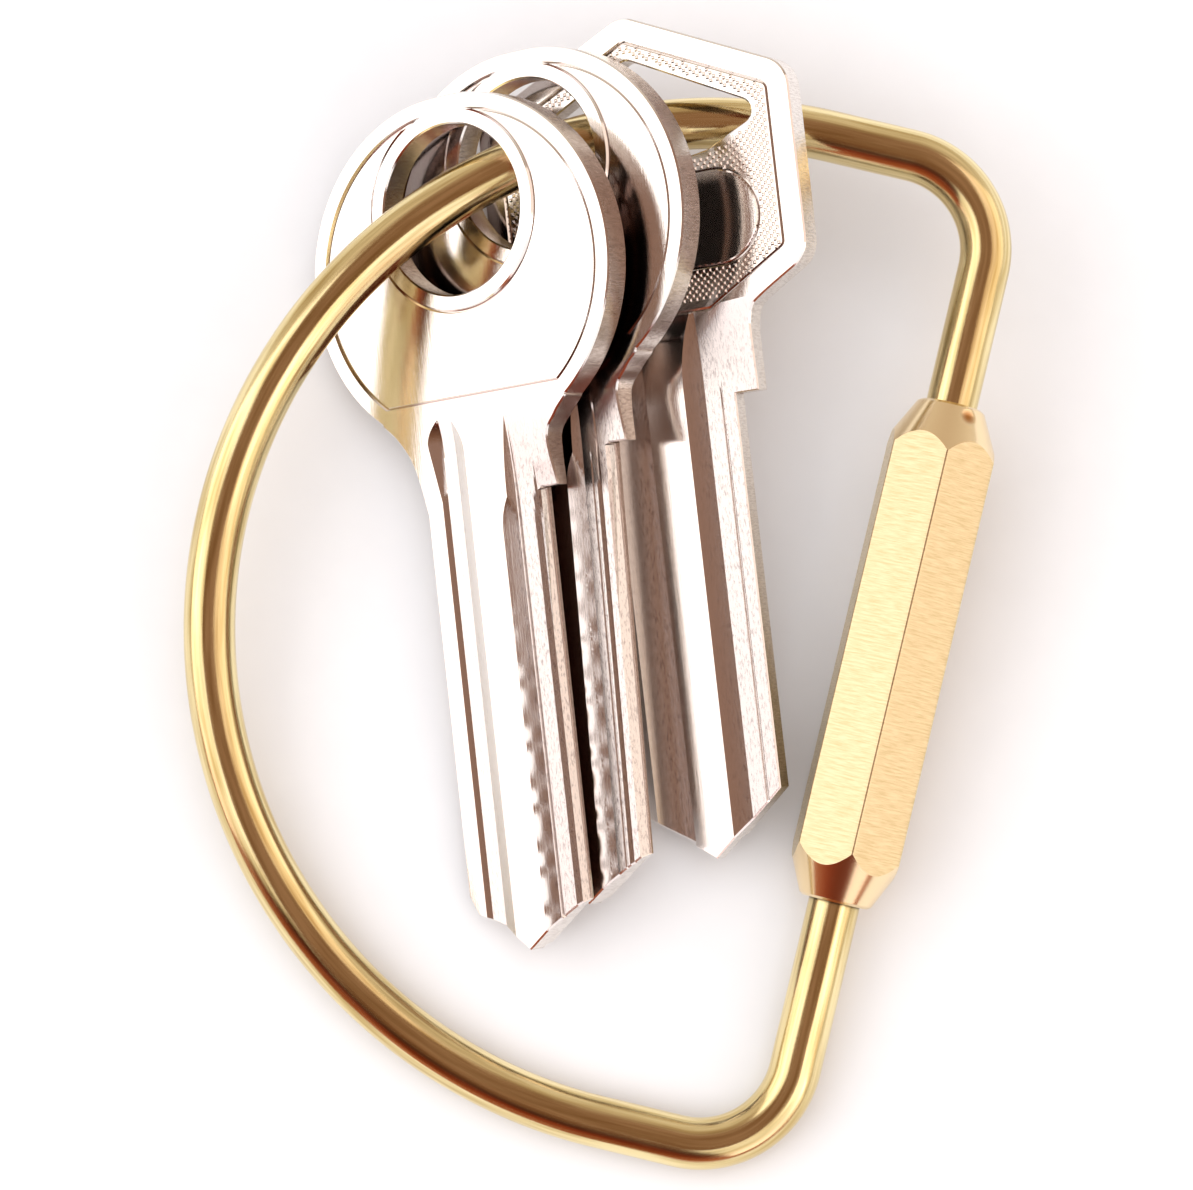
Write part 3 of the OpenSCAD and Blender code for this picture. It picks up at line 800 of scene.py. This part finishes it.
right_neck = smooth_path(np.concatenate([[[half + ledge, -round_stop]], neck[2::-1], right_arc[1:2]]))[:-1]
round_outline = np.concatenate([right_arc[1:], left_arc, left_neck, tip, [[half, -round_stop]], right_neck])
round_outline -= [0, hole_up]
print("round outline", len(round_outline), "points")

# %% Faces of the round keys
rear_grooves = [(-1.25, -1.15, 0.3, 0.4, 0.5, -14.0, 30), (2.5, 3.6, 8, 9, 0.5, -15.5, 30)]
plunge_groove = (-3.75, -2.8, -2.76, -2.66, 0.5, -12.75, 3)  # where the left groove's cutter went in
plunge_low = (-14.2, -19.2)  # its depth fades out between these
edge_slope = (3.9, 4.3, 1.4)  # fall at the right edge: from, to, depth
stop_step = 0.1  # length over which that fall begins
# a key: where it hangs on the round side in degrees, its way out and up from there in mm, and its yaw;
# its grooves; its chatter: from x to x, depth of that groove, y below which it starts, pitch
left_groove = (-3.05, -2.72, -1.75, -0.95, 0.2, -12.9, 12)
front_key = {"place": (135.1, -1.13, 0.27, 19.7),
             "grooves": [left_groove, (1.95, 2.35, 8, 9, 0.42, -13.2, 30),
                         (1.4, 2.34, 2.36, 2.4, 0.42, -17.6, 8), (2.4, 2.48, 2.56, 2.64, 0.56, -13.3, 30),
                         (2.84, 3.95, 8, 9, 0.62, -14.2, 30)],
             "chatter": (1.4, 2.34, 0.42, -24.0, 1.95)}
middle_key = {"place": (124.9, -0.59, -0.11, 18.4),
              "grooves": [left_groove, (1.75, 2.2, 8, 9, 0.42, -13.2, 30),
                          (1.15, 2.19, 2.21, 2.25, 0.42, -17.6, 8), (2.75, 2.83, 2.89, 2.97, 0.5, -15.0, 30),
                          (3.1, 3.35, 3.4, 3.46, 0.58, -13.5, 30)],
              "chatter": (1.15, 2.19, 0.42, -19.0, 1.95)}


def field_depth(points):
    """The sunk field: relief deep inside the bow's rim, outside the hole's rim and above the line."""
    x = np.maximum(np.abs(points[:, 0]) - bow_stretch / 2, 0)
    inner = bow_r - bow_rim - np.hypot(x, points[:, 1] + hole_up)
    outer = np.hypot(points[:, 0], points[:, 1]) - hole_r - hole_rim
    return step_down(np.minimum(np.minimum(inner, outer), points[:, 1] - line_y))


def round_depths(points, key):
    """Depth below the front and the rear plane of each point of a round key, and how far it is milled."""
    x, y = points.T
    field = field_depth(points)
    fade = np.clip((plunge_low[0] - y) / (plunge_low[0] - plunge_low[1]), 0, 1)
    plunge = groove_depth_at(x, y, plunge_groove) - plunge_groove[4] * fade
    fall = edge_slope[2] * np.clip((x - edge_slope[0]) / (edge_slope[1] - edge_slope[0]), 0, 1)
    fall = fall * np.clip((-round_stop - hole_up - y) / stop_step, 0, 1)
    milled = milled_depth(points, key["grooves"])
    front = np.max([field, plunge, fall, milled - chatter(points, *key["chatter"])], axis=0)
    return front, np.maximum(field, milled_depth(points, rear_grooves)), np.clip(milled / full_wear, 0, 1)


def rim_lines():
    """The edges of the sunk field, its step and its furrow: three loops for each of the two rims."""
    lines = []
    for extra in (0, step_w, 2 * step_w):
        loop = stadium(bow_stretch / 2, -hole_up, bow_r - bow_rim - extra, 120)
        keep = loop[:, 1] > line_y + extra
        start = np.argmax(~keep)
        loop = np.roll(loop, -start, 0)
        lines.append((loop[np.roll(keep, -start)], True))
        lines.append((arc_points([0, 0], hole_r + hole_rim + extra, 0, 357, 120), True))
    return lines


# %% Round keys
tip_y = -hole_up - round_reach
fine_low = -20  # a fine grid of points covers the run-outs above this, and the chatter below
round_loops = [offset_loop(round_outline, -key_bevel),
               arc_points([0, 0], hole_r + key_bevel, 0, 357.5, 144)[::-1]]
round_down = hole_up - tip[0, 1]  # from the hole to the corner of the tip that touches the table
stop_lines = [(np.array([[edge_slope[0] - 0.1, y], [half + 0.2, y]]), False)
              for y in (-round_stop - hole_up, -round_stop - hole_up - stop_step)]
stop_lines += [(np.column_stack([plunge_groove[:2], plunge_low]), False)]
for name, key in (("front", front_key), ("middle", middle_key)):
    columns = {x for g in key["grooves"] + rear_grooves for x in g[:4] if x < half - key_bevel}
    columns = sorted(columns | {edge_slope[0]})
    x0, x1 = key["chatter"][:2]
    fine = np.concatenate([grid_points(-3.9, half - 0.15, fine_low, -12.3, 0.14),
                           grid_points(x0, x1, tip_y, fine_low, 0.12)])
    lines = rim_lines() + blade_lines(columns, -12.2, tip_y - 1) + stop_lines
    lines += groove_lines(key["grooves"] + [plunge_groove], half)
    places, triangles = triangulate(round_loops, lines, fine)
    front, rear, milled = round_depths(places, key)
    angle, out, lift, yaw = key["place"]
    rotation, place = lying_key(on_wire(angle, out, lift), yaw, round_roll, round_down, half, key_t / 2)
    mesh = plate_mesh("round_key_" + name, places, triangles, key_t / 2 - front, rear - key_t / 2,
                      rotation, place, milled)
    add_piece("round_key_" + name, mesh, name + "_key", "key_" + name, [nickel, edge_nickel])

# %% Outline and grooves of the six-sided key
hex_t = 1.7
hex_half = 11.0
hex_blade = 9.8
hex_reach = 46.6  # from the hole's middle to the tip
hex_stop = 18.3  # from there to the shoulders
hex_neck = 6.5
hex_border = 1.4  # raised rim round the knurl
hex_round = 2  # radius of the bow's corners
hex_place = (112.2, 0.87, -0.17)  # as for the round keys
hex_yaw, hex_roll = 19.9, 30
bow_corners = np.array([[0, 0.55], [1, 0.1], [1, -0.97], [0.4, -1.31],
                        [-0.4, -1.31], [-1, -0.97], [-1, 0.1]]) * hex_half
flare = np.array([[0.11, -1.14], [0.03, -1.2], [0, -1.29]]) * hex_half + [hex_neck, 0]
hex_tip = np.array([[-0.5, 0.34], [0.02, 0], [0.5, 0.41]]) * hex_blade - [0, hex_reach]
half = hex_blade / 2
hex_outline = np.concatenate([
    *[rounded_corner(bow_corners[k + 1], bow_corners[k], bow_corners[k - 1], hex_round)
      for k in (2, 1, 0, -1, -2)],
    smooth_path(np.concatenate([bow_corners[5:6], flare * [-1, 1]]))[3:],
    [[-hex_neck, -hex_stop], [-half, -hex_stop]], hex_tip, [[half, -hex_stop], [hex_neck, -hex_stop]],
    smooth_path(np.concatenate([flare[::-1], bow_corners[2:3]]))[:-3]])
hex_hole = rounded_loop(np.array([[0, 0.3], [0.85, -0.12], [0.45, -0.29], [0, -0.36], [-0.45, -0.29],
                                  [-0.85, -0.12]]) * hex_half, 0.8)
knurl_field = rounded_loop(offset_loop(bow_corners[::-1], -hex_border), hex_round - hex_border)
pad_loop = stadium(5.1, -7.4, 2.8, 30)  # smooth pad below the hole
hex_front_grooves = [(-3.6, -1.3, -1.16, -1.1, 0.75, -13.5, 30), (1.56, 2.8, 8, 9, 0.45, -12.4, 30),
                     (3.85, 3.93, 3.97, 4.05, 0.52, -14.0, 30)]
hex_rear_grooves = [(-0.5, -0.4, 1.6, 1.7, 0.5, -14.0, 30), (-3.6, -3.5, -2.6, -2.5, 0.5, -14.0, 30)]


def hex_depths(points):
    """Depth below the front and the rear plane of each point of the six-sided key, and how far milled."""
    inner = np.where(inside(points, knurl_field), distance_to(points, knurl_field), 0)
    outer = np.where(inside(points, pad_loop), 0, distance_to(points, pad_loop))
    field = step_down(np.minimum(inner, outer))
    milled = milled_depth(points, hex_front_grooves)
    rear = np.maximum(field, milled_depth(points, hex_rear_grooves))
    return np.maximum(field, milled), rear, np.clip(milled / full_wear, 0, 1)


print("six-sided outline", len(hex_outline), "points")

# %% Knurl
knurl_pitch = 0.47
knurl_squeeze = 0.95  # its pitch across the key is this much finer
knurl_r = 0.15
knurl_base, knurl_tip = 1.25, 0.35  # corners of a pyramid's foot and top, in knurl_r from its middle
knurl_h = 0.09  # how far a pyramid stands over the field
knurl_sink = 0.02  # how far its foot reaches into the field
knurl_room = 0.12  # bare strip left at every edge
knurl_low = -12.3  # it ends here, above the blade


def knurl_dots(thickness):
    """Small flat-topped pyramids in a diagonal grid on both sunk fields: points and faces."""
    g = np.arange(-40, 41) * knurl_pitch
    centres = np.stack(np.meshgrid(g, g), -1).reshape(-1, 2)
    centres = np.concatenate([centres, centres + knurl_pitch / 2]) * [knurl_squeeze, 1.0]
    centres = centres[inside(centres, knurl_field) & ~inside(centres, hex_hole) & ~inside(centres, pad_loop)]
    far = np.min([distance_to(centres, knurl_field), distance_to(centres, pad_loop),
                  distance_to(centres, hex_hole) - key_bevel], axis=0)
    centres = centres[(far > knurl_r + knurl_room) & (centres[:, 1] > knurl_low)]
    a = np.radians(np.array([45, 135, 225, 315]))
    ring = np.stack([np.cos(a), np.sin(a)], 1)
    low = centres[:, None] + knurl_r * knurl_base * ring
    high = centres[:, None] + knurl_r * knurl_tip * ring
    z = thickness / 2 - relief
    front = np.concatenate([np.dstack([low, np.full(low.shape[:2], z - knurl_sink)]),
                            np.dstack([high, np.full(high.shape[:2], z + knurl_h)])], 1).reshape(-1, 3)
    box = np.array([[0, 3, 2, 1], [4, 5, 6, 7], [0, 1, 5, 4], [1, 2, 6, 5], [2, 3, 7, 6], [3, 0, 4, 7]])
    count = len(centres)
    faces = (box + 8 * np.arange(count)[:, None, None]).reshape(-1, 4)
    rear = front * [1, 1, -1]
    return np.concatenate([front, rear]), np.concatenate([faces, faces[:, ::-1] + 8 * count])


# %% Six-sided key
columns = sorted({x for g in hex_front_grooves + hex_rear_grooves for x in g[:4] if x < half})
field_lines = [(offset_loop(loop, way * step_w), True) for loop, side in ((knurl_field, -1), (pad_loop, 1))
               for way in (0, side, 2 * side)]
places, triangles = triangulate(
    [offset_loop(hex_outline, -key_bevel), offset_loop(hex_hole[::-1], key_bevel)[::-1]],
    field_lines + blade_lines(columns, -12.0, -hex_reach - 1) + groove_lines(hex_front_grooves, half),
    grid_points(-4, 4.7, -21, -12.5, 0.16))  # over its run-outs
front, rear, milled = hex_depths(places)
rotation, place = lying_key(on_wire(*hex_place), hex_yaw, hex_roll, -hex_tip[0, 1], half, hex_t / 2)
mesh = plate_mesh("six_sided_key", places, triangles, hex_t / 2 - front, rear - hex_t / 2,
                      rotation, place, milled, knurl_dots(hex_t))
add_piece("six_sided_key", mesh, "back_key", "key_back", [nickel, edge_nickel])

# %% [markdown]
# ## Floor and light
# The object lies on a white table between two large white softboxes, one on the left and one at the lower
# right, with a dimmer warm card on the right. Polished metal only looks like metal when it has bright and
# dark things to reflect, so the room turns brown above and behind. Only metal sees those colours: the
# table gets a plain grey room and an overhead light, which keep its shadows soft and neutral.

# %% Floor


def table_white():
    """Matt white board: it scatters all light evenly, and its pulp is faintly cloudy every 2.5 mm."""
    material, tree = new_material("board_white_matt")
    place = add_node(tree, "TexCoord")
    clouds = add_node(tree, "TexNoise", None, {"Scale": 400.0, "Detail": 2.0},
                      {"Vector": place.outputs["Object"]})
    color = add_node(tree, *color_mix, {"A": "#efeded", "B": "#f2f0f0"}, {"Factor": clouds.outputs[0]})
    matt = add_node(tree, "BsdfDiffuse", None, {"Roughness": 0.5}, {"Color": color.outputs[2]})
    add_node(tree, "OutputMaterial", None, None, {0: matt.outputs[0]})
    return material


floor_half = 3.0
floor_mesh = bpy.data.meshes.new("table")
floor_mesh.from_pydata([(floor_half * x, floor_half * y, 0) for x, y in ((-1, -1), (1, -1), (1, 1), (-1, 1))],
                       [], [(0, 1, 2, 3)])
floor_mesh.materials.append(table_white())
floor = add_object("table", floor_mesh)
print("floor", 2 * floor_half, "m wide")

# %% Lights


def softbox(name, azimuth, elevation, wide, tall, away, level, color, in_metal=True):
    """A rectangle of light that looks at the object: angles in degrees, away in m, level 1 for white."""
    data = bpy.data.lights.new(name, "AREA")
    data.shape = "RECTANGLE"
    data.size = 2 * away * tan(radians(wide / 2))
    data.size_y = 2 * away * tan(radians(tall / 2))
    data.energy = level * pi * data.size * data.size_y
    data.color = hex_color(color)[:3]
    axes = turn(2, azimuth + 90) @ turn(0, 90 - elevation)  # columns: across, up and outwards
    lamp = add_object(name, data, axes, away * axes[:, 2])
    lamp.visible_camera = False
    lamp.visible_glossy = in_metal


softbox("softbox_left", 192, 35, 52, 54, 0.6, 1.2, "#ffffff")
softbox("softbox_lower_right", 320, 35, 46, 50, 0.6, 1.1, "#ffffff")
softbox("card_right", 15, 40, 62, 52, 0.6, 0.76, "#ffece0")
softbox("overhead", 180, 72, 80, 80, 0.8, 1.45, "#eef5fd", in_metal=False)
world = bpy.data.worlds.new("studio")
bpy.context.scene.world = world
world.use_nodes = True
room = world.node_tree
room.nodes.clear()
toward = add_node(room, "TexCoord")
axes = add_node(room, "SeparateXYZ", None, None, {0: toward.outputs["Generated"]})
sides = []  # colour by height, from 0 at the horizon to 1 straight up: north, south
for stops in ([(0.0, "#e6dbd0"), (0.6, "#d6c4b2"), (0.85, "#957260"), (1.0, "#957260")],
              [(0.05, "#b06a4c"), (0.42, "#8a3a22"), (0.65, "#4a2418"), (0.97, "#8a6046")]):
    ramp = add_node(room, "ValToRGB", None, None, {0: axes.outputs[2]})
    while len(ramp.color_ramp.elements) < len(stops):
        ramp.color_ramp.elements.new(0.5)
    for element, (height, color) in zip(ramp.color_ramp.elements, stops):
        element.position = height
        element.color = hex_color(color)
    sides.append(ramp.outputs[0])
south = add_node(room, "MapRange", None, {"From Min": -0.2, "From Max": -0.5}, {"Value": axes.outputs[1]})
shades = add_node(room, *color_mix, None, {"Factor": south.outputs[0], "A": sides[0], "B": sides[1]})
ray = add_node(room, "LightPath")
seen = add_node(room, *color_mix, {"A": "#a29891"},
                {"Factor": ray.outputs["Is Glossy Ray"], "B": shades.outputs[2]})
background = add_node(room, "Background", None, {"Strength": 1.0}, {"Color": seen.outputs[2]})
add_node(room, "OutputWorld", None, None, {0: background.outputs[0]})
bpy.context.scene.view_settings.view_transform = "Standard"
